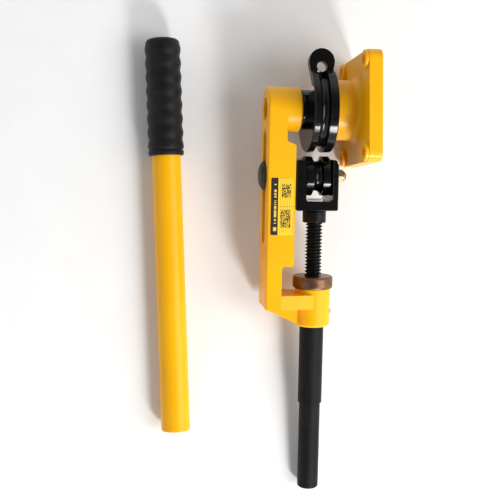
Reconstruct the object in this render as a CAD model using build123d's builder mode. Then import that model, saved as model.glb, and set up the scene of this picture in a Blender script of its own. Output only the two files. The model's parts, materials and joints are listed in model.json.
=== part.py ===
"""Manual pipe bender, lying on its side with its handle tube pulled off and laid beside it.

Frame (mm): +X comes out of the base's mounting face, which lies in X = 0 with the pivot axis
through the origin; +Z is up, with the floor at Z = -floor_depth; +Y completes the frame.
Places on the swing arm are given as (x, w, d): x along the pivot axis, w across the arm and
d along the arm, from the pivot axis towards the tip of the lever.
"""
from build123d import *
from math import asin, atan, cos, degrees, pi, sin, sqrt
import os

os.makedirs("parts", exist_ok=True)

# ---- Driving dimensions -------------------------------------------------------------

# Base casting
plate_size = 110.0
plate_thick = 14.0
plate_corner_r = 10.0
bolt_spacing = 90.0
bolt_hole_r = 5.5
pad_r = 9.4
pad_rise = 3.5
pad_chamfer = 0.8
post_r = 30.5
post_face_x = -40.3
post_root_r = 6.5
post_chamfer = 1.0
plate_edge_r = 1.2
plate_back_edge_r = 0.5
floor_depth = plate_size / 2

# Centre pin, its set screw, and the dowels that key the die to the post
pin_r = 11.0
pin_inner_x = -8.0
pin_end_x = -98.0
pin_chamfer = 1.5
pin_screw_r = 4.0
pin_screw_x = -27.0
pin_screw_hex_r = 2.3
dowel_r = 4.0
dowel_pitch_r = 22.0
dowel_depth = 10.0

# Bending die, for 10 mm tube
tube_r = 5.0
groove_arc = 262.0
groove_x = -53.9
die_rim_r = 43.2
die_left_x = -65.0
die_core_x = -59.2
die_edge = 1.0
die_hub_r = 20.0
die_hub_x = -72.2
die_cut_y = 15.0
hook_end_y = 36.0
hook_end_z = 15.5
hook_root_z = 38.5
eye_r = 13.0
eye_centre_y = 45.5
eye_hole_r = 5.2
eye_hole_y = 40.4
eye_thick = 8.0
eye_root_y = 22.0
eye_root_width = 17.0
running_gap = 0.05

# Swing arm
arm_outer_x = -107.0
arm_half_width = 22.5
neck_x = -87.8
beam_x = -78.6
boss_face_x = -72.5
step_start_d = 31.2
step_end_d = 35.2
notch_x = -90.7
notch_top_d = 158.0
foot_top_d = 188.4
foot_bottom_d = 203.0
notch_r = 3.5
slot_top_d = 20.0
slot_bottom_d = 137.0
slot_half_width = 8.6
arm_edge_r = 2.0
step_r = 1.0
notch_edge_r = 1.2
arm_bore_r = 11.6
bush_r = 13.5
bush_x = -98.5
screw_boss_r = 18.5
foot_nose_r = 18.0
screw_boss_top_d = 183.3
screw_boss_bottom_d = 222.8
screw_boss_edge_r = 3.0
gusset_half = 8.0
gusset_start_x = -104.0
gusset_end_x = -72.0
gusset_root_x = -60.0
gusset_top_d = 196.0
gusset_lip = 1.5
boss_chamfer = 1.5

# Label on the arm's upper side face
label_margin = 1.6
label_top_d = 68.0
label_bottom_d = 125.5
label_thick = 0.3
label_corner_r = 1.0

# Lever bar
lever_r = 12.5
lever_tip_r = 11.0
lever_top_d = 197.0
lever_step_d = 305.4
lever_tip_d = 398.7
lever_bore_r = 9.6
lever_bore_end_d = 276.0
lever_chamfer = 1.5
set_screw_r = 3.0
set_screw_hex_r = 1.7
set_screw_proud = 0.7
set_screw_d = 208.0

# Roller carriage
roller_d = 67.0
roller_r = 20.2
roller_width = 26.4
roller_bush_r = 10.5
bracket_left_x = -77.8
bracket_right_x = -34.5
bracket_inner_left_x = -67.5
bracket_inner_right_x = -40.3
bracket_top_d = 49.8
bracket_bottom_d = 101.0
bracket_web_top_d = 91.5
bracket_half_depth = 23.5
bracket_edge_r = 2.0
bracket_inner_r = 2.5
bracket_lip_r = 1.0
bracket_side_chamfer = 0.8
cheek_chamfer_d = 5.5
cheek_chamfer_x = 3.0
axle_r = 8.0
axle_head_r = 15.0
axle_head_thick = 5.0
axle_head_gap = 0.3
axle_head_rim = 0.9
axle_head_flat_r = 8.0
stud_r = 4.0
stud_end_x = -22.3
washer_r = 8.0
washer_thick = 1.6
nut_flats = 13.0
nut_thick = 7.2
insert_r = 5.3
insert_thick = 2.2
insert_round = 1.2
nut_bevel = 0.6
roller_edge = 1.0

# Adjusting screw and round nut
screw_r = 8.8
collar_r = 12.1
collar_top_d = 102.6
collar_bottom_d = 114.7
collar_chamfer = 0.6
screw_end_d = 215.0
neck_r = 8.0
spigot_r = 6.0
spigot_flare = 1.5
screw_chamfer = 2.0
round_nut_r = 20.75
round_nut_top_d = 170.5
round_nut_edge_r = 2.2
round_nut_gap = 0.2

# Handle: a tube with a ribbed grip
handle_length = 406.0
handle_r = 15.0
handle_bore_r = 11.5
grip_r = 18.5
grip_valley_r = 17.4
grip_length = 120.5
grip_end_thick = 6.0
grip_dome = 5.0
grip_bulges = 8
grip_first_bulge = 11.6
grip_bulge_pitch = 14.2
grip_bulge_half = 5.6
handle_chamfer = 0.6
grip_top_xy = (-208.9, 75.0)
handle_end_xy = (-195.1, -330.8)

# ---- The frame of the swing arm ------------------------------------------------------

# The arm hangs about the pivot axis until the lever's tip edge touches the floor.
tip_edge_d = lever_tip_d - lever_chamfer
tip_reach = sqrt(tip_edge_d**2 + lever_tip_r**2)
arm_swing = asin(floor_depth / tip_reach) - atan(lever_tip_r / tip_edge_d)
arm_dir = Vector(0, -cos(arm_swing), -sin(arm_swing))
across_dir = Vector(0, -sin(arm_swing), cos(arm_swing))

# The die's groove starts at the eye's front face and runs out behind the axis.
groove_start = asin((hook_end_z + eye_thick) / die_rim_r)
groove_plane = Plane.XY.rotated((degrees(groove_start), 0, 0))

# The screw, its nut and the lever bar lie on one axis.
screw_axis = Axis((groove_x, 0, 0), arm_dir)


def station(d, x=0.0):
    """The plane square to the arm at d: its x is X and its y runs across the arm."""
    return Plane(origin=arm_dir * d + Vector(x, 0, 0), x_dir=(1, 0, 0), z_dir=arm_dir)


def arm_face(x):
    """The plane square to the pivot axis at x: its x runs across the arm, its y along it."""
    return Plane(origin=(x, 0, 0), x_dir=across_dir, z_dir=(1, 0, 0))


def side_plane(w=0.0):
    """The plane along the arm and the pivot axis at w: its x is X and its y is -d."""
    return Plane(origin=across_dir * w, x_dir=(1, 0, 0), z_dir=across_dir)


def base_plane(x):
    """The plane square to the pivot axis at x, unturned: its x is Y and its y is Z."""
    return Plane(origin=(x, 0, 0), x_dir=(0, 1, 0), z_dir=(1, 0, 0))


# ---- Base ----------------------------------------------------------------------------

bolt_places = GridLocations(bolt_spacing, bolt_spacing, 2, 2)
dowel_places = PolarLocations(dowel_pitch_r, 2)

with BuildPart() as base_casting:
    # Square mounting plate
    with BuildSketch(base_plane(0)):
        RectangleRounded(plate_size, plate_size, plate_corner_r)
    extrude(amount=-plate_thick)
    fillet(base_casting.faces().sort_by(Axis.X)[-1].edges(), radius=plate_edge_r)
    fillet(base_casting.faces().sort_by(Axis.X)[0].edges(), radius=plate_back_edge_r)
    # Raised pads round the bolt holes
    with BuildSketch(base_plane(-plate_thick)):
        with bolt_places:
            Circle(pad_r)
    extrude(amount=-pad_rise)
    chamfer(base_casting.faces().group_by(Axis.X)[0].edges(), length=pad_chamfer)
    # Post, turned, with a cast root radius
    root_x = -plate_thick - post_root_r
    with BuildSketch(Plane.XY):
        with BuildLine():
            Line((-plate_thick, 0), (-plate_thick, post_r + post_root_r))
            CenterArc((root_x, post_r + post_root_r), post_root_r, 0, -90)
            Polyline(
                (root_x, post_r),
                (post_face_x + post_chamfer, post_r),
                (post_face_x, post_r - post_chamfer),
                (post_face_x, 0),
                (-plate_thick, 0),
            )
        make_face()
    revolve(axis=Axis.X)
    # Bolt holes
    with BuildSketch(base_plane(0)):
        with bolt_places:
            Circle(bolt_hole_r)
    extrude(amount=-(plate_thick + pad_rise), mode=Mode.SUBTRACT)
    # Blind bore for the centre pin
    with BuildSketch(base_plane(post_face_x)):
        Circle(pin_r)
    extrude(amount=pin_inner_x - post_face_x, mode=Mode.SUBTRACT)
    # Blind holes for the two dowels
    with BuildSketch(base_plane(post_face_x)):
        with dowel_places:
            Circle(dowel_r)
    extrude(amount=dowel_depth, mode=Mode.SUBTRACT)
    # Tapped hole for the set screw, on the underside
    with BuildSketch(Plane(origin=(pin_screw_x, 0, 0), x_dir=(1, 0, 0), z_dir=(0, 0, -1))):
        Circle(pin_screw_r)
    extrude(amount=post_r + 2, mode=Mode.SUBTRACT)
base_casting.part.label = "base_casting"

with BuildPart() as centre_pin:
    with BuildSketch(base_plane(pin_inner_x)):
        Circle(pin_r)
    extrude(amount=pin_end_x - pin_inner_x)
    chamfer(centre_pin.faces().sort_by(Axis.X)[0].edges(), length=pin_chamfer)
centre_pin.part.label = "centre_pin"

with BuildPart() as pin_set_screw:
    with BuildSketch(Plane(origin=(pin_screw_x, 0, -pin_r), x_dir=(1, 0, 0), z_dir=(0, 0, -1))):
        Circle(pin_screw_r)
    extrude(amount=post_r - pin_r - 1)
    with BuildSketch(Plane(pin_set_screw.faces().sort_by(Axis.Z)[0])):
        RegularPolygon(pin_screw_hex_r, 6)
    extrude(amount=-pin_screw_r, mode=Mode.SUBTRACT)
pin_set_screw.part.label = "pin_set_screw"

with BuildPart() as die_dowels:
    with BuildSketch(base_plane(post_face_x - dowel_depth)):
        with dowel_places:
            Circle(dowel_r)
    extrude(amount=2 * dowel_depth)
    chamfer(die_dowels.edges(), length=0.6)
die_dowels.part.label = "die_dowels"

# The die is a grooved disc. Above the hub its lower rear quarter is missing, and what is left
# there is a hook along the rim that ends in an eye for the tube's tail.
with BuildPart() as bending_die:
    # Disc
    with BuildSketch(base_plane(post_face_x)):
        Circle(die_rim_r)
    extrude(amount=die_left_x - post_face_x)
    chamfer(bending_die.edges(), length=die_edge)
    # Missing quarter, behind the eye
    with BuildSketch(base_plane(post_face_x)):
        with Locations((die_cut_y, hook_end_z)):
            Rectangle(2 * die_rim_r, 2 * die_rim_r, align=(Align.MIN, Align.MAX))
    extrude(amount=die_left_x - post_face_x, mode=Mode.SUBTRACT)
    # Arm side of the hook, cut back along a chord
    with BuildSketch(base_plane(die_core_x)):
        with BuildLine():
            Polyline(
                (die_cut_y, 0),
                (hook_end_y, 0),
                (hook_end_y, hook_end_z),
                (die_cut_y, hook_root_z),
                close=True,
            )
        make_face()
    extrude(amount=die_left_x - die_core_x, mode=Mode.SUBTRACT)
    # Eye, drawn in towards the hub
    with BuildSketch(Plane.XY.offset(hook_end_z)):
        with Locations((groove_x, eye_centre_y)):
            Circle(eye_r)
        with Locations((groove_x, eye_root_y)):
            Rectangle(eye_root_width, die_edge, align=(Align.CENTER, Align.MIN))
        make_hull()
    extrude(amount=eye_thick)
    with BuildSketch(Plane.XY.offset(hook_end_z)):
        with Locations((groove_x, eye_hole_y)):
            Circle(eye_hole_r)
    extrude(amount=eye_thick, mode=Mode.SUBTRACT)
    # Tube groove round the rest of the rim, from the eye's front face
    with BuildSketch(groove_plane):
        with Locations((groove_x, die_rim_r)):
            Circle(tube_r)
    revolve(axis=Axis.X, revolution_arc=groove_arc, mode=Mode.SUBTRACT)
    # Hub
    with BuildSketch(base_plane(post_face_x)):
        Circle(die_hub_r)
    extrude(amount=die_hub_x - post_face_x)
    chamfer(bending_die.faces().sort_by(Axis.X)[0].edges(), length=die_edge)
    # Bore and dowel holes
    with BuildSketch(base_plane(die_hub_x)):
        Circle(pin_r + running_gap)
    extrude(amount=post_face_x - die_hub_x, mode=Mode.SUBTRACT)
    with BuildSketch(base_plane(post_face_x)):
        with dowel_places:
            Circle(dowel_r)
    extrude(amount=-dowel_depth, mode=Mode.SUBTRACT)
bending_die.part.label = "bending_die"

# ---- Swing arm -----------------------------------------------------------------------

boss_side_x = groove_x + screw_boss_r
boss_round_d = screw_boss_bottom_d - screw_boss_edge_r
with BuildPart() as swing_arm:
    # Beam and neck: the side profile, as wide as the arm
    with BuildSketch(side_plane()):
        with BuildLine():
            FilletPolyline(
                (arm_outer_x, arm_half_width),
                (neck_x, arm_half_width),
                (neck_x, -step_start_d),
                (beam_x, -step_end_d),
                (beam_x, -notch_top_d),
                (notch_x, -notch_top_d),
                (notch_x, -foot_bottom_d),
                (arm_outer_x, -foot_bottom_d),
                radius=[0, 0, step_r, step_r, notch_edge_r, notch_r, 0, 0],
                close=True,
            )
        make_face()
    extrude(amount=arm_half_width, both=True)
    # Round end about the pivot
    with BuildSketch(arm_face(arm_outer_x)):
        Circle(arm_half_width)
        Rectangle(2 * arm_half_width, foot_bottom_d, align=(Align.CENTER, Align.MIN))
    extrude(amount=beam_x - arm_outer_x, mode=Mode.INTERSECT)
    # Gusset between the foot and the boss
    with BuildSketch(side_plane()):
        with BuildLine():
            Polyline(
                (gusset_start_x, -gusset_top_d),
                (gusset_start_x, -foot_bottom_d - gusset_lip),
                (gusset_end_x, -boss_round_d),
                (gusset_root_x, -boss_round_d),
                (gusset_root_x, -gusset_top_d),
                close=True,
            )
        make_face()
    extrude(amount=gusset_half, both=True)
    # Foot, drawn in from the arm's width to the screw boss
    with BuildSketch(station(foot_top_d)):
        with Locations((arm_outer_x, 0)):
            Rectangle(notch_x - arm_outer_x, 2 * arm_half_width, align=(Align.MIN, Align.CENTER))
        with Locations((groove_x, 0)):
            Circle(foot_nose_r)
        make_hull()
    extrude(amount=foot_bottom_d - foot_top_d)
    # Cast edge round the outer face
    fillet(swing_arm.faces().sort_by(Axis.X)[0].edges(), radius=arm_edge_r)
    # Screw boss, turned, with a rounded bottom edge
    with BuildSketch(side_plane()):
        with BuildLine():
            Polyline(
                (boss_side_x - screw_boss_edge_r, -screw_boss_bottom_d),
                (groove_x, -screw_boss_bottom_d),
                (groove_x, -screw_boss_top_d),
                (boss_side_x, -screw_boss_top_d),
                (boss_side_x, -boss_round_d),
            )
            CenterArc((boss_side_x - screw_boss_edge_r, -boss_round_d), screw_boss_edge_r, 0, -90)
        make_face()
    revolve(axis=screw_axis)
    # Slot for the roller's axle
    with BuildSketch(arm_face(arm_outer_x)):
        with Locations((0, (slot_top_d + slot_bottom_d) / 2)):
            SlotOverall(slot_bottom_d - slot_top_d, 2 * slot_half_width, rotation=90)
    extrude(amount=beam_x - arm_outer_x, mode=Mode.SUBTRACT)
    # Pivot boss
    with BuildSketch(arm_face(neck_x)):
        Circle(arm_half_width)
    extrude(amount=boss_face_x - neck_x)
    chamfer(swing_arm.edges().filter_by(lambda edge: abs(edge.center().X - boss_face_x) < 0.01
                                        and edge.length > 2 * arm_half_width), length=boss_chamfer)
    # Pivot bore: narrow at the outer face, then the seat of the bush
    with BuildSketch(arm_face(arm_outer_x)):
        Circle(arm_bore_r)
    extrude(amount=bush_x - arm_outer_x, mode=Mode.SUBTRACT)
    with BuildSketch(arm_face(bush_x)):
        Circle(bush_r)
    extrude(amount=boss_face_x - bush_x, mode=Mode.SUBTRACT)
    # Screw's clearance hole, then the socket that the lever bar is fixed in
    with BuildSketch(station(screw_boss_top_d)):
        with Locations((groove_x, 0)):
            Circle(lever_bore_r)
    extrude(amount=lever_top_d - screw_boss_top_d, mode=Mode.SUBTRACT)
    with BuildSketch(station(lever_top_d)):
        with Locations((groove_x, 0)):
            Circle(lever_r)
    extrude(amount=screw_boss_bottom_d - lever_top_d, mode=Mode.SUBTRACT)
    # Tapped hole for the lever's set screw
    with BuildSketch(Plane(station(set_screw_d).origin + Vector(groove_x, 0, 0), z_dir=(1, 0, 0))):
        Circle(set_screw_r)
    extrude(amount=screw_boss_r + 1, mode=Mode.SUBTRACT)
swing_arm.part.label = "swing_arm"

with BuildPart() as pivot_bush:
    with BuildSketch(arm_face(bush_x)):
        Circle(bush_r)
        Circle(pin_r + running_gap, mode=Mode.SUBTRACT)
    extrude(amount=boss_face_x - bush_x)
pivot_bush.part.label = "pivot_bush"

with BuildPart() as rating_label:
    with BuildSketch(side_plane(arm_half_width)):
        with Locations(((arm_outer_x + arm_edge_r + beam_x) / 2, -(label_top_d + label_bottom_d) / 2)):
            RectangleRounded(beam_x - arm_outer_x - arm_edge_r - 2 * label_margin,
                             label_bottom_d - label_top_d, label_corner_r)
    extrude(amount=label_thick)
rating_label.part.label = "rating_label"

with BuildPart() as lever_bar:
    # Stepped round bar
    with BuildSketch(station(lever_top_d)):
        with Locations((groove_x, 0)):
            Circle(lever_r)
    extrude(amount=lever_step_d - lever_top_d)
    with BuildSketch(station(lever_step_d)):
        with Locations((groove_x, 0)):
            Circle(lever_tip_r)
    extrude(amount=lever_tip_d - lever_step_d)
    chamfer(lever_bar.faces().sort_by(Axis.Y)[0].edges(), length=lever_chamfer)
    # Bore that the screw's tail runs in
    with BuildSketch(station(lever_top_d)):
        with Locations((groove_x, 0)):
            Circle(lever_bore_r)
    extrude(amount=lever_bore_end_d - lever_top_d, mode=Mode.SUBTRACT)
lever_bar.part.label = "lever_bar"

set_screw_end_x = groove_x + screw_boss_r + set_screw_proud
with BuildPart() as lever_set_screw:
    with BuildSketch(Plane(arm_dir * set_screw_d + Vector(set_screw_end_x, 0, 0), z_dir=(1, 0, 0))):
        Circle(set_screw_r)
    extrude(amount=groove_x + lever_r - set_screw_end_x)
    chamfer(lever_set_screw.faces().sort_by(Axis.X)[-1].edges(), length=0.5)
    with BuildSketch(Plane(arm_dir * set_screw_d + Vector(set_screw_end_x, 0, 0), z_dir=(1, 0, 0))):
        RegularPolygon(set_screw_hex_r, 6)
    extrude(amount=-set_screw_r, mode=Mode.SUBTRACT)
lever_set_screw.part.label = "lever_set_screw"

# ---- Roller carriage -------------------------------------------------------------------



def axle_plane(x):
    """The plane square to the roller's axle at x."""
    return Plane(origin=arm_dir * roller_d + Vector(x, 0, 0), x_dir=across_dir, z_dir=(1, 0, 0))


with BuildPart() as roller_bracket:
    # U of two cheeks and a web
    with BuildSketch(side_plane()):
        with BuildLine():
            FilletPolyline(
                (bracket_left_x, -bracket_top_d),
                (bracket_left_x, -bracket_bottom_d),
                (bracket_right_x, -bracket_bottom_d),
                (bracket_right_x, -bracket_top_d - cheek_chamfer_d),
                (bracket_right_x - cheek_chamfer_x, -bracket_top_d),
                (bracket_inner_right_x, -bracket_top_d),
                (bracket_inner_right_x, -bracket_web_top_d),
                (bracket_inner_left_x, -bracket_web_top_d),
                (bracket_inner_left_x, -bracket_top_d),
                radius=[bracket_edge_r] * 3 + [bracket_lip_r] * 2 + [0]
                + [bracket_inner_r] * 2 + [bracket_lip_r],
                close=True,
            )
        make_face()
    extrude(amount=bracket_half_depth, both=True)
    flat_sides = roller_bracket.faces().filter_by(lambda face: abs(face.normal_at().dot(across_dir)) > 0.99)
    chamfer(flat_sides.edges(), length=bracket_side_chamfer)
    # Axle holes
    with BuildSketch(axle_plane(bracket_left_x)):
        Circle(axle_r)
    extrude(amount=bracket_right_x - bracket_left_x, mode=Mode.SUBTRACT)
    # Hole for the screw's spigot
    with BuildSketch(station(bracket_web_top_d)):
        with Locations((groove_x, 0)):
            Circle(spigot_r)
    extrude(amount=bracket_bottom_d - bracket_web_top_d, mode=Mode.SUBTRACT)
    with BuildSketch(station(bracket_web_top_d)):
        with Locations((groove_x, 0)):
            Circle(spigot_r + spigot_flare)
    extrude(amount=spigot_flare, taper=45, mode=Mode.SUBTRACT)
roller_bracket.part.label = "roller_bracket"

with BuildPart() as roller_axle:
    head_inner_x = arm_outer_x - axle_head_gap
    # Domed head, turned
    head_outer_x = head_inner_x - axle_head_thick
    with BuildSketch(side_plane()):
        with BuildLine():
            Polyline(
                (head_outer_x, -roller_d - axle_head_flat_r),
                (head_outer_x, -roller_d),
                (head_inner_x, -roller_d),
                (head_inner_x, -roller_d - axle_head_r),
                (head_inner_x - axle_head_rim, -roller_d - axle_head_r),
            )
            RadiusArc(
                (head_inner_x - axle_head_rim, -roller_d - axle_head_r),
                (head_outer_x, -roller_d - axle_head_flat_r),
                axle_head_r,
            )
        make_face()
    revolve(axis=Axis((0, arm_dir.Y * roller_d, arm_dir.Z * roller_d), (1, 0, 0)))
    # Shank through the arm's slot, both cheeks and the roller
    with BuildSketch(axle_plane(head_inner_x)):
        Circle(axle_r)
    extrude(amount=bracket_right_x - head_inner_x)
    # Threaded end
    with BuildSketch(axle_plane(bracket_right_x)):
        Circle(stud_r)
    extrude(amount=stud_end_x - bracket_right_x)
    chamfer(roller_axle.faces().sort_by(Axis.X)[-1].edges(), length=0.8)
roller_axle.part.label = "roller_axle"

with BuildPart() as axle_washer:
    with BuildSketch(axle_plane(bracket_right_x)):
        Circle(washer_r)
        Circle(stud_r, mode=Mode.SUBTRACT)
    extrude(amount=washer_thick)
axle_washer.part.label = "axle_washer"

nut_inner_x = bracket_right_x + washer_thick
with BuildPart() as axle_nut:
    with BuildSketch(axle_plane(nut_inner_x)):
        RegularPolygon(nut_flats / 2, 6, major_radius=False)
    extrude(amount=nut_thick)
    # Corners turned off at both ends
    with BuildSketch(side_plane()) as nut_turning:
        with BuildLine():
            Polyline(
                (nut_inner_x, -roller_d),
                (nut_inner_x, -roller_d - nut_flats / 2),
                (nut_inner_x + nut_bevel, -roller_d - nut_flats / 2 - 2 * nut_bevel),
                (nut_inner_x + nut_thick - nut_bevel, -roller_d - nut_flats / 2 - 2 * nut_bevel),
                (nut_inner_x + nut_thick, -roller_d - nut_flats / 2),
                (nut_inner_x + nut_thick, -roller_d),
                close=True,
            )
        make_face()
    revolve(axis=Axis((0, arm_dir.Y * roller_d, arm_dir.Z * roller_d), (1, 0, 0)), mode=Mode.INTERSECT)
    with BuildSketch(axle_plane(nut_inner_x)):
        Circle(stud_r)
    extrude(amount=nut_thick, mode=Mode.SUBTRACT)
axle_nut.part.label = "axle_nut"

insert_inner_x = nut_inner_x + nut_thick
with BuildPart() as nut_insert:
    with BuildSketch(axle_plane(insert_inner_x)):
        Circle(insert_r)
    extrude(amount=insert_thick)
    fillet(nut_insert.faces().sort_by(Axis.X)[-1].edges(), radius=insert_round)
    with BuildSketch(axle_plane(insert_inner_x)):
        Circle(stud_r)
    extrude(amount=insert_thick, mode=Mode.SUBTRACT)
nut_insert.part.label = "nut_insert"

roller_left_x = groove_x - roller_width / 2
with BuildPart() as pressure_roller:
    with BuildSketch(axle_plane(roller_left_x)):
        Circle(roller_r)
    extrude(amount=roller_width)
    chamfer(pressure_roller.edges().filter_by(GeomType.CIRCLE), length=roller_edge)
    # Tube groove
    with BuildSketch(side_plane()):
        with Locations((groove_x, -roller_d + roller_r)):
            Circle(tube_r)
    revolve(axis=Axis((0, arm_dir.Y * roller_d, arm_dir.Z * roller_d), (1, 0, 0)), mode=Mode.SUBTRACT)
    with BuildSketch(axle_plane(roller_left_x)):
        Circle(roller_bush_r)
    extrude(amount=roller_width, mode=Mode.SUBTRACT)
pressure_roller.part.label = "pressure_roller"

with BuildPart() as roller_bush:
    with BuildSketch(axle_plane(roller_left_x)):
        Circle(roller_bush_r)
        Circle(axle_r + running_gap, mode=Mode.SUBTRACT)
    extrude(amount=roller_width)
roller_bush.part.label = "roller_bush"

# ---- Adjusting screw and nut -----------------------------------------------------------

with BuildPart() as adjusting_screw:
    # Spigot through the bracket's web, its end spread into the countersink
    with BuildSketch(station(bracket_web_top_d)):
        with Locations((groove_x, 0)):
            Circle(spigot_r)
    extrude(amount=bracket_bottom_d - bracket_web_top_d)
    with BuildSketch(station(bracket_web_top_d)):
        with Locations((groove_x, 0)):
            Circle(spigot_r + spigot_flare)
    extrude(amount=spigot_flare, taper=45)
    # Neck between the bracket and the collar
    with BuildSketch(station(bracket_bottom_d)):
        with Locations((groove_x, 0)):
            Circle(neck_r)
    extrude(amount=collar_top_d - bracket_bottom_d)
    # Collar
    with BuildSketch(station(collar_top_d)):
        with Locations((groove_x, 0)):
            Circle(collar_r)
    extrude(amount=collar_bottom_d - collar_top_d)
    collar_rims = adjusting_screw.edges().filter_by(lambda edge: abs(edge.length - 2 * pi * collar_r) < 0.1)
    chamfer(collar_rims, length=collar_chamfer)
    # Threaded length, at its outside diameter
    with BuildSketch(station(collar_bottom_d)):
        with Locations((groove_x, 0)):
            Circle(screw_r)
    extrude(amount=screw_end_d - collar_bottom_d)
    chamfer(adjusting_screw.faces().sort_by(Axis.Y)[0].edges(), length=screw_chamfer)
adjusting_screw.part.label = "adjusting_screw"

with BuildPart() as adjusting_nut:
    with BuildSketch(station(round_nut_top_d)):
        with Locations((groove_x, 0)):
            Circle(round_nut_r)
    extrude(amount=screw_boss_top_d - round_nut_gap - round_nut_top_d)
    fillet(adjusting_nut.edges().filter_by(GeomType.CIRCLE), radius=round_nut_edge_r)
    with BuildSketch(station(round_nut_top_d)):
        with Locations((groove_x, 0)):
            Circle(screw_r + running_gap)
    extrude(amount=screw_boss_top_d - round_nut_top_d, mode=Mode.SUBTRACT)
adjusting_nut.part.label = "adjusting_nut"

# ---- Handle, lying on the floor beside the tool ----------------------------------------

# The grip's last bulge and the tube's open end both touch the floor.
grip_touch = grip_first_bulge + (grip_bulges - 1) * grip_bulge_pitch
handle_run = sqrt((handle_end_xy[0] - grip_top_xy[0]) ** 2 + (handle_end_xy[1] - grip_top_xy[1]) ** 2)
handle_dip = atan((grip_r - handle_r) / (handle_length - grip_touch))
handle_dir = Vector(
    (handle_end_xy[0] - grip_top_xy[0]) / handle_run * cos(handle_dip),
    (handle_end_xy[1] - grip_top_xy[1]) / handle_run * cos(handle_dip),
    -sin(handle_dip),
)
grip_top = Vector(*grip_top_xy, -floor_depth + handle_r / cos(handle_dip) + handle_length * sin(handle_dip))
handle_side = handle_dir.cross(Vector(0, 0, 1)).normalized()
handle_plane = Plane(origin=grip_top, x_dir=handle_dir, z_dir=handle_dir.cross(handle_side))
handle_axis = Axis(grip_top, handle_dir)

with BuildPart() as handle_tube:
    with BuildSketch(handle_plane):
        with Locations((grip_end_thick, handle_bore_r)):
            Rectangle(handle_length - grip_end_thick, handle_r - handle_bore_r, align=(Align.MIN, Align.MIN))
    revolve(axis=handle_axis)
    chamfer(handle_tube.faces().sort_by(Axis.Y)[0].edges(), length=handle_chamfer)
handle_tube.part.label = "handle_tube"

with BuildPart() as handle_grip:
    with BuildSketch(handle_plane):
        with BuildLine():
            # Domed end, then the valley line back to the collar
            Line((0, 0), (0, grip_r - grip_dome))
            RadiusArc((0, grip_r - grip_dome), (grip_dome, grip_valley_r), grip_dome)
            Line((grip_dome, grip_valley_r), (grip_length, grip_valley_r))
            Line((grip_length, grip_valley_r), (grip_length, handle_r))
            Line((grip_length, handle_r), (grip_end_thick, handle_r))
            Line((grip_end_thick, handle_r), (grip_end_thick, 0))
            Line((grip_end_thick, 0), (0, 0))
        make_face()
        # Bulges
        for bulge in range(grip_bulges):
            middle = grip_first_bulge + bulge * grip_bulge_pitch
            with BuildLine():
                ThreePointArc(
                    (middle - grip_bulge_half, grip_valley_r),
                    (middle, grip_r),
                    (middle + grip_bulge_half, grip_valley_r),
                )
                Line((middle + grip_bulge_half, grip_valley_r), (middle + grip_bulge_half, handle_r))
                Line((middle + grip_bulge_half, handle_r), (middle - grip_bulge_half, handle_r))
                Line((middle - grip_bulge_half, handle_r), (middle - grip_bulge_half, grip_valley_r))
            make_face()
    revolve(axis=handle_axis)
handle_grip.part.label = "handle_grip"

# ---- Write the pieces ------------------------------------------------------------------

pieces = [
    base_casting,
    centre_pin,
    pin_set_screw,
    die_dowels,
    bending_die,
    swing_arm,
    pivot_bush,
    rating_label,
    lever_bar,
    lever_set_screw,
    roller_bracket,
    roller_axle,
    axle_washer,
    axle_nut,
    nut_insert,
    pressure_roller,
    roller_bush,
    adjusting_screw,
    adjusting_nut,
    handle_tube,
    handle_grip,
]
for piece in pieces:
    export_step(piece.part, f"parts/{piece.part.label}.step")

print(f"arm swing {degrees(arm_swing):.4f} deg, arm direction {tuple(arm_dir)}, groove x {groove_x:.2f}")
print(f"grip top {tuple(grip_top)}, handle direction {tuple(handle_dir)}")
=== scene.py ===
"""A hand pipe bender lying on its side with its handle tube beside it, on a pale floor.

Metres. +X is out of the base's mounting face, +Y points away from the lever's tip, +Z is up.
"""

import json
from math import atan2, cos, pi, radians

import bmesh
import bpy
from mathutils import Matrix, Vector


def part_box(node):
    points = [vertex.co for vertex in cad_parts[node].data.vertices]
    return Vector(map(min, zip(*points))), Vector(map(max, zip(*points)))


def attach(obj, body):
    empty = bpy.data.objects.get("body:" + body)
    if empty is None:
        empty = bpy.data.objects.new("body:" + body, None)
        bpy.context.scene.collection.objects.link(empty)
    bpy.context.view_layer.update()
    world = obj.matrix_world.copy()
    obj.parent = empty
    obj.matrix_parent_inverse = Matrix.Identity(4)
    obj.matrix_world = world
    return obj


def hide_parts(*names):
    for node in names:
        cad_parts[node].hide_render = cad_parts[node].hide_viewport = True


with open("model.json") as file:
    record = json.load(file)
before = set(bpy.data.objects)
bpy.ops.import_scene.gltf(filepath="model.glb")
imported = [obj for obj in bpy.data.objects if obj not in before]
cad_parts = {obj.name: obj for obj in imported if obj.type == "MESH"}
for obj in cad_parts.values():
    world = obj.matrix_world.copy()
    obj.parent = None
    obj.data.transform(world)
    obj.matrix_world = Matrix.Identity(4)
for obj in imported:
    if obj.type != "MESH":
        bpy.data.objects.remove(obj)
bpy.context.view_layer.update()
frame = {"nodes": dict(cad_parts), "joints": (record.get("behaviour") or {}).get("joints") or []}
nodes = frame["nodes"]
joints = {joint["name"]: joint for joint in frame["joints"]}
MM = 0.001

# ---- Camera ----
# A lens of 70 mm looks down from above the gap between the tool and its handle tube, turned a
# little towards the tool.
camera_data = bpy.data.cameras.new("camera")
camera_data.lens = 70.08
camera_data.sensor_width = 36.0
camera_data.clip_end = 20.0
camera = bpy.data.objects.new("camera", camera_data)
camera.location = (-0.2702, -0.1209, 0.9728)
camera.rotation_euler = (-0.02188, -0.15035, 0.00028)
bpy.context.scene.collection.objects.link(camera)
bpy.context.scene.camera = camera


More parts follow.
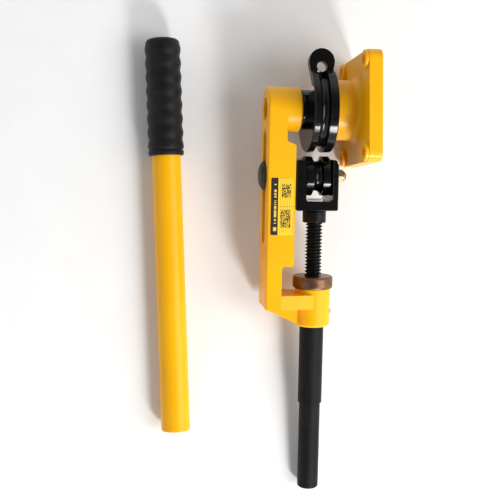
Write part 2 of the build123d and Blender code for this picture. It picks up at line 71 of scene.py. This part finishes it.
# ---- Floor ----
# A sheet of matt white board, far larger than the tool. It touches the base plate's lower edge,
# the lever's tip, the grip's last rib and the end of the handle tube.
class Value:
    """A number that varies over a surface. Sums of these add Math nodes to its material."""

    def __init__(self, finish, socket):
        self.finish = finish
        self.socket = socket

    def math(self, operation, *others):
        inputs = dict(enumerate((self, *others)))
        return self.finish.add("ShaderNodeMath", {"operation": operation}, inputs)

    def __add__(self, other):
        return self.math("ADD", other)

    __radd__ = __add__

    def __mul__(self, other):
        return self.math("MULTIPLY", other)

    __rmul__ = __mul__

    def __truediv__(self, other):
        return self.math("DIVIDE", other)

    def __mod__(self, other):
        return self.math("FLOORED_MODULO", other)

    def __gt__(self, other):
        return self.math("GREATER_THAN", other)

    def __lt__(self, other):
        return self.math("LESS_THAN", other)


class Finish:
    """A material round one Principled shader, with patterns in the object's own coordinates."""

    def __init__(self, name, **constants):
        self.material = bpy.data.materials.new(name)
        self.material.use_nodes = True
        self.nodes = self.material.node_tree.nodes
        self.links = self.material.node_tree.links
        self.shader = self.nodes["Principled BSDF"]
        self.place = self.add("ShaderNodeTexCoord", output="Object")
        for socket, value in constants.items():
            self.set(socket.replace("_", " ").title().replace("Ior", "IOR"), value)

    def add(self, kind, settings=None, inputs=None, output=0):
        """Makes a node: its settings first, then its sockets' values or links."""
        node = self.nodes.new(kind)
        for name, value in (settings or {}).items():
            setattr(node, name, value)
        for name, value in (inputs or {}).items():
            self.feed(node.inputs[name], value)
        return Value(self, node.outputs[output])

    def feed(self, socket, value):
        """Links a Value to a socket, or sets a number or colour on it."""
        if isinstance(value, Value):
            self.links.new(value.socket, socket)
        elif isinstance(value, tuple) and len(value) == 3 and socket.type == "RGBA":
            socket.default_value = (*value, 1.0)
        else:
            socket.default_value = value

    def set(self, socket, value):
        self.feed(self.shader.inputs[socket], value)

    def noise(self, size, detail=2.0, rough=0.5, place=None):
        """Soft noise from 0 to 1 whose blotches are about this size in metres."""
        inputs = {"Vector": place or self.place, "Scale": 1 / size}
        inputs.update({"Detail": detail, "Roughness": rough})
        return self.add("ShaderNodeTexNoise", inputs=inputs)

    def streaks(self, scale, detail, turn=(0.0, 0.0, 0.0)):
        """Noise with this many blotches to the metre along each of the turned axes."""
        turned = self.add("ShaderNodeMapping", inputs={"Vector": self.place, "Rotation": turn})
        scaled = self.add("ShaderNodeMapping", inputs={"Vector": turned, "Scale": scale})
        return self.noise(1.0, detail, place=scaled)

    def mix(self, share, first, second):
        """A colour from first to second."""
        colours = {0: share, 6: first, 7: second}
        return self.add("ShaderNodeMix", {"data_type": "RGBA"}, colours, output=2)

    def ease(self, value, low, high, start=0.0, end=1.0):
        """value's run from low to high, made a smooth run from start to end."""
        inputs = {"Value": value, "From Min": low, "From Max": high}
        inputs.update({"To Min": start, "To Max": end})
        return self.add("ShaderNodeMapRange", {"interpolation_type": "SMOOTHSTEP"}, inputs)

    def along(self, direction, origin=(0.0, 0.0, 0.0)):
        """How far a point lies along a direction from the origin, in metres."""
        inputs = {0: self.place, 1: tuple(direction)}
        dot = self.add("ShaderNodeVectorMath", {"operation": "DOT_PRODUCT"}, inputs, "Value")
        return dot + -Vector(direction).dot(Vector(origin))

    def bump(self, height, depth, strength=1.0):
        """Raises the surface by up to depth, in metres."""
        inputs = {"Height": height, "Distance": depth, "Strength": strength}
        self.set("Normal", self.add("ShaderNodeBump", inputs=inputs))


floor_half_width = 5.0
floor_gap = 0.05 * MM
lowest_z = min(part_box("handle_tube")[0].z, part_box("base_casting")[0].z)
bm = bmesh.new()
bmesh.ops.create_grid(bm, x_segments=1, y_segments=1, size=floor_half_width)
bmesh.ops.translate(bm, verts=bm.verts, vec=(0.0, 0.0, lowest_z - floor_gap))
floor_mesh = bpy.data.meshes.new("floor")
bm.to_mesh(floor_mesh)
bm.free()
floor = bpy.data.objects.new("floor", floor_mesh)
bpy.context.scene.collection.objects.link(floor)
board = Finish("white_board", roughness=0.9, specular_ior_level=0.2)
mottle = board.ease(board.noise(50 * MM, 3.0), 0.3, 0.7)
board.set("Base Color", board.mix(mottle, (0.905, 0.90, 0.893), (0.885, 0.88, 0.873)))
floor_mesh.materials.append(board.material)

# ---- Light ----
# A tall window low beyond the lever's end lights most of it, and draws the short bright bars on
# the gloss black. A weaker soft box stands high on the right. The white room is dim overhead.
scene = bpy.context.scene
scene.view_settings.view_transform = "Standard"
room = bpy.data.worlds.new("room")
room.use_nodes = True
room_nodes = room.node_tree.nodes
room_links = room.node_tree.links
room_way = room_nodes.new("ShaderNodeSeparateXYZ")
room_place = room_nodes.new("ShaderNodeTexCoord")
room_links.new(room_place.outputs["Generated"], room_way.inputs["Vector"])


def room_brightness(axis, run, interpolation):
    """A brightness that follows one axis. run is from, to, and the brightness at each."""
    node = room_nodes.new("ShaderNodeMapRange")
    node.interpolation_type = interpolation
    for socket, number in zip(("From Min", "From Max", "To Min", "To Max"), run):
        node.inputs[socket].default_value = number
    room_links.new(room_way.outputs[axis], node.inputs["Value"])
    return node.outputs["Result"]


walls_to_ceiling = room_brightness("Z", (0.35, 0.95, 1.10, 0.12), "SMOOTHSTEP")
left_to_right = room_brightness("X", (-1.0, 1.0, 0.72, 1.18), "LINEAR")
strength = room_nodes.new("ShaderNodeMath")
strength.operation = "MULTIPLY"
room_links.new(walls_to_ceiling, strength.inputs[0])
room_links.new(left_to_right, strength.inputs[1])
room_links.new(strength.outputs["Value"], room_nodes["Background"].inputs["Strength"])
room_nodes["Background"].inputs["Color"].default_value = (0.985, 0.99, 1.0, 1.0)
scene.world = room

tool_middle = Vector((-0.08, -0.06, 0.0))
for name, direction, distance, wide, high, watts in (
    ("window", (0.32, -0.80, 0.50), 2.0, 0.38, 0.65, 29.0),
    ("soft_box", (0.64, -0.16, 0.76), 2.3, 1.3, 1.6, 24.0),
):
    lamp = bpy.data.lights.new(name, "AREA")
    lamp.shape = "RECTANGLE"
    lamp.size = wide
    lamp.size_y = high
    lamp.energy = watts
    lamp_object = bpy.data.objects.new(name, lamp)
    toward = Vector(direction).normalized()
    facing = toward.to_track_quat("Z", "Y").to_matrix().to_4x4()
    lamp_object.matrix_world = Matrix.Translation(tool_middle + toward * distance) @ facing
    scene.collection.objects.link(lamp_object)


# ---- Castings: base and swing arm ----
# Both are iron castings, machined where they mate and then coated with glossy yellow powder.
# The coat is smooth with a slight orange peel, and the casting's soft waves show through it.
def powder_coat(name, wave):
    """Glossy yellow powder coat. wave is how deep the metal under it rolls, in metres."""
    relief = 0.3 * MM
    coat = Finish(name, coat_weight=0.08, coat_roughness=0.05, specular_ior_level=0.20)
    tone = coat.ease(coat.noise(45 * MM, 3.0), 0.3, 0.72)
    yellow = coat.mix(tone, (0.92, 0.455, 0.003), (0.90, 0.42, 0.002))
    dust = coat.ease(coat.noise(2.2 * MM, 4.0, 0.65), 0.62, 0.8, 0.0, 0.22)
    coat.set("Base Color", coat.mix(dust, yellow, (0.86, 0.40, 0.012)))
    coat.set("Roughness", coat.ease(coat.noise(6 * MM, 3.0), 0.25, 0.75, 0.28, 0.40))
    orange_peel = coat.noise(1.1 * MM, 1.0) * 0.10 + coat.noise(4.5 * MM, 2.0) * 0.22
    casting_waves = coat.noise(17 * MM, 2.0) * wave / relief
    coat.bump(orange_peel + casting_waves, relief, 0.55)
    return coat.material


cast_yellow = powder_coat("cast_yellow", 0.20 * MM)
for name in ("base_casting", "swing_arm"):
    nodes[name].data.materials[0] = cast_yellow

# ---- Centre pin, dowels and bushes ----
# The pin is ground steel, held in the base's post by a set screw. The bushes that run on it and
# on the roller's axle are turned bearing bronze.
ground = Finish("ground_steel", metallic=1.0)
grinding = ground.streaks((2500.0, 300.0, 300.0), 1.0)
stain = ground.noise(4 * MM, 3.0)
ground.set("Base Color", ground.mix(stain, (0.52, 0.52, 0.53), (0.40, 0.39, 0.38)))
ground.set("Roughness", ground.ease(grinding, 0.2, 0.8, 0.22, 0.38))
ground.bump(grinding, 0.02 * MM, 0.3)
for name in ("centre_pin", "die_dowels"):
    nodes[name].data.materials[0] = ground.material

bearing = Finish("bearing_bronze", metallic=1.0)
turning = bearing.streaks((2200.0, 120.0, 120.0), 2.0)
tarnish = bearing.noise(6 * MM, 3.0)
bearing.set("Base Color", bearing.mix(tarnish, (0.58, 0.36, 0.17), (0.40, 0.23, 0.10)))
bearing.set("Roughness", bearing.ease(turning, 0.2, 0.8, 0.30, 0.5))
bearing.bump(turning, 0.03 * MM, 0.4)
for name in ("pivot_bush", "roller_bush"):
    nodes[name].data.materials[0] = bearing.material

# ---- Bending die, roller and bracket ----
# These are machined from cast steel and coated in gloss black. The coat pools a little in the
# grooves, and a few specks of dust are caught in it.
gloss = Finish("gloss_black", specular_ior_level=0.24, coat_weight=0.12, coat_roughness=0.03)
cloud = gloss.ease(gloss.noise(12 * MM, 3.0), 0.35, 0.7)
gloss.set("Base Color", gloss.mix(cloud, (0.003, 0.003, 0.0036), (0.005, 0.0049, 0.0054)))
smear = gloss.streaks((60.0, 400.0, 400.0), 3.0)
gloss.set("Roughness", gloss.ease(smear, 0.25, 0.75, 0.08, 0.17))
speck = gloss.ease(gloss.noise(1.6 * MM, 2.0, 0.6), 0.66, 0.78, 0.0, 0.35)
gloss.bump(gloss.noise(3.5 * MM, 2.0) * 0.5 + speck, 0.05 * MM, 0.5)
for name in ("bending_die", "pressure_roller", "roller_bracket"):
    nodes[name].data.materials[0] = gloss.material

# ---- Axle, its washer and lock nut, and the set screws ----
# The axle and set screws are steel with a black oxide. The washer and the nut are zinc plated
# and yellow passivated, which gives them a faint rainbow.
oxide = Finish("black_oxide", specular_ior_level=0.35)
bloom = oxide.ease(oxide.noise(4 * MM, 3.0), 0.35, 0.7)
oxide.set("Base Color", oxide.mix(bloom, (0.008, 0.008, 0.009), (0.017, 0.0165, 0.016)))
oxide.set("Roughness", oxide.ease(oxide.noise(2 * MM, 3.0), 0.25, 0.75, 0.32, 0.5))
oxide.bump(oxide.noise(0.9 * MM, 2.0), 0.05 * MM, 0.35)
for name in ("roller_axle", "pin_set_screw", "lever_set_screw"):
    nodes[name].data.materials[0] = oxide.material

zinc = Finish("yellow_zinc_plate", metallic=1.0)
greenish = zinc.ease(zinc.noise(5 * MM, 2.0), 0.35, 0.65)
reddish = zinc.ease(zinc.noise(3 * MM, 2.0), 0.5, 0.75)
straw = zinc.mix(greenish, (0.34, 0.285, 0.15), (0.27, 0.275, 0.17))
zinc.set("Base Color", zinc.mix(reddish, straw, (0.33, 0.23, 0.14)))
zinc.set("Roughness", zinc.ease(zinc.noise(1.5 * MM, 3.0), 0.25, 0.75, 0.44, 0.58))
zinc.bump(zinc.noise(1.2 * MM, 2.0), 0.04 * MM, 0.3)
for name in ("axle_washer", "axle_nut", "nut_insert"):
    nodes[name].data.materials[0] = zinc.material

# ---- Lever bar ----
# Round bar, turned down at its lower end to take the handle tube, with a satin black oxide.
# Handling has rubbed faint streaks along it, and the turned end shows its feed marks.
arm_way = Vector(joints["roller_adjust"]["axis"]).normalized()
arm_turn = (-atan2(arm_way.z, arm_way.y), 0.0, 0.0)
bar = Finish("satin_bar", specular_ior_level=0.13)
streak = bar.streaks((1400.0, 25.0, 1400.0), 3.0, arm_turn)
rub = bar.ease(streak, 0.4, 0.75) * bar.ease(bar.noise(30 * MM, 2.0), 0.3, 0.7)
bar.set("Base Color", bar.mix(rub, (0.006, 0.0059, 0.006), (0.018, 0.017, 0.0155)))
bar.set("Roughness", bar.ease(streak, 0.25, 0.75, 0.44, 0.60))
feed_marks = bar.streaks((60.0, 2600.0, 60.0), 2.0, arm_turn)
bar.bump(bar.noise(1.2 * MM, 2.0) * 0.6 + feed_marks * 0.5, 0.05 * MM, 0.4)
nodes["lever_bar"].data.materials[0] = bar.material

# ---- Adjusting screw ----
# Black steel, with a coarse rolled thread, a plain collar that pushes on the bracket, and a
# spigot whose end is spread into the bracket's countersink. It slides with the bracket.
across_way = Vector((0.0, arm_way.z, -arm_way.y))
nut_low, nut_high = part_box("adjusting_nut")
screw_place = Matrix.Translation((nut_low.x / 2 + nut_high.x / 2, 0.0, 0.0)) @ Matrix((
    (1.0, 0.0, 0.0, 0.0),
    (0.0, across_way.y, arm_way.y, 0.0),
    (0.0, across_way.z, arm_way.z, 0.0),
    (0.0, 0.0, 0.0, 1.0),
))
# Millimetres. Distances are from the arm's pivot.
thread_top, thread_end = 113.5, 214.6
crest_r, root_r = 8.75, 6.7
thread_pitch = 3.5
crest_start, crest_end = 1.55, 1.95
root_end, root_start = 0.30, 3.20
steps_per_turn = 40
web_top, web_bottom = 91.5, 101.0
spigot_r, flare_r, flare_depth = 5.97, 7.45, 1.52
neck_r = 8.0
collar_r, collar_top, collar_bottom = 12.1, 102.6, 114.7


def lathe(bm, profile, steps=64):
    """Spins (radius, height) points, in millimetres, about Z. Radius 0 closes an end."""
    points = [bm.verts.new((radius * MM, 0.0, height * MM)) for radius, height in profile]
    edges = [bm.edges.new(pair) for pair in zip(points, points[1:])]
    bmesh.ops.spin(bm, geom=points + edges, cent=(0, 0, 0), axis=(0, 0, 1), angle=2 * pi,
                   steps=steps, use_merge=True, use_duplicate=False)
    bmesh.ops.remove_doubles(bm, verts=bm.verts, dist=1e-6)


def finish_piece(bm, name, place, material, body, smooth_angle):
    """Puts a mesh in place, smooths its gentle edges and parents it to its body's empty."""
    bmesh.ops.transform(bm, matrix=place, verts=bm.verts)
    bmesh.ops.recalc_face_normals(bm, faces=bm.faces)
    for face in bm.faces:
        face.smooth = True
    for edge in bm.edges:
        if len(edge.link_faces) == 2:
            edge.smooth = edge.calc_face_angle() < radians(smooth_angle)
    mesh = bpy.data.meshes.new(name)
    bm.to_mesh(mesh)
    bm.free()
    mesh.materials.append(material)
    piece = bpy.data.objects.new(name, mesh)
    bpy.context.scene.collection.objects.link(piece)
    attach(piece, body)
    return piece


bm = bmesh.new()
tooth = (
    (root_r, 0.0), (root_r, root_end), (crest_r, crest_start),
    (crest_r, crest_end), (root_r, root_start), (root_r, thread_pitch),
)
first_turn = thread_top - thread_pitch
points = [bm.verts.new((radius * MM, 0.0, (first_turn + height) * MM)) for radius, height in tooth]
edges = [bm.edges.new(pair) for pair in zip(points, points[1:])]
turns = int((thread_end - first_turn) / thread_pitch) + 2
bmesh.ops.spin(bm, geom=points + edges, cent=(0, 0, 0), axis=(0, 0, 1), angle=2 * pi * turns,
               dvec=(0.0, 0.0, thread_pitch * MM / steps_per_turn),
               steps=turns * steps_per_turn, use_merge=False, use_duplicate=False)
bmesh.ops.remove_doubles(bm, verts=bm.verts, dist=1e-5)
for height, way in ((thread_top, -1.0), (thread_end, 1.0)):
    geometry = bm.verts[:] + bm.edges[:] + bm.faces[:]
    cut = bmesh.ops.bisect_plane(bm, geom=geometry, dist=1e-7, plane_co=(0, 0, height * MM),
                                 plane_no=(0, 0, way), clear_outer=True)
    rim = [item for item in cut["geom_cut"] if isinstance(item, bmesh.types.BMEdge)]
    bmesh.ops.edgeloop_fill(bm, edges=rim)
lathe(bm, (
    (0.0, web_top), (flare_r - 0.25, web_top), (flare_r, web_top + 0.05),
    (spigot_r, web_top + flare_depth), (spigot_r, web_bottom),
    (neck_r - 0.4, web_bottom + 0.02), (neck_r, web_bottom + 0.4), (neck_r, collar_top),
    (collar_r - 0.7, collar_top), (collar_r - 0.2, collar_top + 0.2),
    (collar_r, collar_top + 0.7), (collar_r, collar_bottom - 0.7),
    (collar_r - 0.2, collar_bottom - 0.2), (collar_r - 0.7, collar_bottom),
    (0.0, collar_bottom),
))
steel = Finish("screw_black", specular_ior_level=0.16)
oil = steel.ease(steel.noise(5 * MM, 3.0), 0.4, 0.7)
steel.set("Base Color", steel.mix(oil, (0.004, 0.004, 0.0045), (0.009, 0.0088, 0.0085)))
steel.set("Roughness", steel.ease(steel.noise(3 * MM, 3.0), 0.25, 0.75, 0.28, 0.42))
steel.bump(steel.noise(0.8 * MM, 2.0), 0.04 * MM, 0.3)
screw = finish_piece(bm, "adjusting_screw_threaded", screw_place, steel.material,
                     "carriage", 30.0)
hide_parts("adjusting_screw")

# ---- Round nut ----
# Turned bronze, browned with handling. It stands on the screw boss and drives the screw. Its
# rim has the fine lines of the turning tool.
brown = Finish("brown_bronze", metallic=0.9)
rings = brown.streaks((12.0, 1900.0, 12.0), 2.0, arm_turn)
patina = brown.ease(brown.noise(7 * MM, 3.0, 0.6), 0.35, 0.7)
brown.set("Base Color", brown.mix(patina, (0.23, 0.12, 0.066), (0.135, 0.072, 0.041)))
brown.set("Roughness", brown.ease(rings, 0.25, 0.75, 0.34, 0.50))
brown.bump(rings, 0.05 * MM, 0.5)
nodes["adjusting_nut"].data.materials[0] = brown.material

# ---- Rating label ----
# A self-adhesive film on the arm's upper side: a black band with a broken gold line, and a
# yellow panel with a ruled table of plain marks. It carries no words.
label_low, label_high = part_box("rating_label")
label_top = 68.0 * MM
label = Finish("printed_film", roughness=0.35, coat_weight=0.3)
side = label.along((1.0, 0.0, 0.0), (label_low.x, 0.0, 0.0)) / (label_high.x - label_low.x)
down = label.along(arm_way, arm_way * label_top) / MM
rule_columns, mark_columns, mark_height, dash_length = 12.5, 30.0, 0.62, 0.9
black_ink, gold_ink = (0.012, 0.010, 0.008), (0.80, 0.52, 0.10)
panel_yellow, panel_ink = (0.98, 0.62, 0.018), (0.05, 0.032, 0.01)


def between(value, low, high):
    """1 where value lies between low and high, else 0."""
    return (value > low) * (value < high)


def patch(left, right, top, bottom):
    """1 inside a rectangle: shares of the label's width, and millimetres down from its top."""
    return between(side, left, right) * between(down, top, bottom)


def chance(column, row):
    """A random number from 0 to 1 for each cell of a grid."""
    cell = label.add("ShaderNodeCombineXYZ", inputs={0: column, 1: row})
    settings = {"noise_dimensions": "2D"}
    return label.add("ShaderNodeTexWhiteNoise", settings, {"Vector": cell}, output="Value")


band = patch(-0.01, 0.31, -0.1, 57.6)
dash = chance(3.0, (down / dash_length).math("FLOOR")) > 0.32
gold_line = patch(0.135, 0.235, 6.0, 46.0) * dash + patch(0.11, 0.25, 49.5, 53.5)
rules = between((side * rule_columns) % 1.0, 0.0, 0.16) * patch(0.38, 0.98, 2.0, 55.5)
table_lines = patch(0.36, 0.99, 0.8, 1.3) + patch(0.36, 0.99, 28.5, 28.9)
mark_cells = chance((side * mark_columns).math("FLOOR"), (down / mark_height).math("FLOOR"))
marks = (mark_cells > 0.36) * (patch(0.46, 0.86, 6.0, 20.0) + patch(0.42, 0.86, 32.0, 50.0))
ink = (marks + rules * 0.75 + table_lines * 0.7).math("MINIMUM", 1.0)
panel = label.mix(ink, panel_yellow, panel_ink)
label.set("Base Color", label.mix(band, panel, label.mix(gold_line, black_ink, gold_ink)))
label.bump(label.noise(2 * MM, 2.0), 0.02 * MM, 0.3)
nodes["rating_label"].data.materials[0] = label.material

# ---- Handle tube ----
# Welded steel tube, drawn smooth, with the same yellow powder as the castings. Its open end
# slides over the lever's turned end.
nodes["handle_tube"].data.materials[0] = powder_coat("tube_yellow", 0.05 * MM)

# ---- Grip ----
# Moulded black rubber pushed over the tube's top: eight soft ribs, a domed closed end and a
# rolled lip at its open end. The skin is matt with a fine grain.
handle_way = -Vector(joints["handle_slide"]["axis"]).normalized()
grip_top = Vector((-208.9, 75.0, -35.182334)) * MM
grip_side = handle_way.cross(Vector((0, 0, 1))).normalized()
grip_up = grip_side.cross(handle_way)
grip_place = Matrix.Translation(grip_top) @ Matrix((
    (grip_side.x, -grip_up.x, handle_way.x, 0.0),
    (grip_side.y, -grip_up.y, handle_way.y, 0.0),
    (grip_side.z, -grip_up.z, handle_way.z, 0.0),
    (0.0, 0.0, 0.0, 1.0),
))
# Millimetres. Heights are from the grip's closed end.
first_rib, rib_pitch, rib_r, valley_r = 11.6, 14.2, 18.5, 17.3
steps_per_rib, ribs_start, rib_steps = 12, 5.4, 92
grip_length, bore_r, end_wall = 120.5, 15.03, 6.0
dome = [(0.0, 0.0), (7.0, 0.1), (12.0, 0.6), (14.8, 1.5), (16.5, 2.9), (17.3, 4.3)]
lip = [
    (17.2, 114.2), (17.25, 115.0), (17.9, 115.5), (18.3, 116.3), (18.4, 117.8),
    (18.2, 119.3), (17.7, 120.2), (17.0, grip_length),
]
bore = [(bore_r, grip_length), (bore_r, end_wall), (0.0, end_wall)]
ribs = []
for step in range(rib_steps):
    height = ribs_start + step * rib_pitch / steps_per_rib
    swell = (0.5 + 0.5 * cos(2 * pi * (height - first_rib) / rib_pitch)) ** 0.75
    ribs.append((valley_r + (rib_r - valley_r) * swell, height))
bm = bmesh.new()
lathe(bm, dome + ribs + lip + bore, 96)
rubber = Finish("grip_rubber_skin", specular_ior_level=0.18, sheen_weight=0.04,
                sheen_roughness=0.5)
worn = rubber.ease(rubber.noise(14 * MM, 3.0), 0.3, 0.75)
rubber.set("Base Color", rubber.mix(worn, (0.004, 0.0042, 0.0045), (0.009, 0.009, 0.0095)))
rubber.set("Roughness", rubber.ease(rubber.noise(3 * MM, 3.0), 0.25, 0.75, 0.42, 0.58))
grain = rubber.noise(0.6 * MM, 2.0) * 0.7 + rubber.noise(3 * MM, 2.0) * 0.4
rubber.bump(grain, 0.08 * MM, 0.5)
grip = finish_piece(bm, "ribbed_grip", grip_place, rubber.material, "handle", 50.0)
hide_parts("handle_grip")
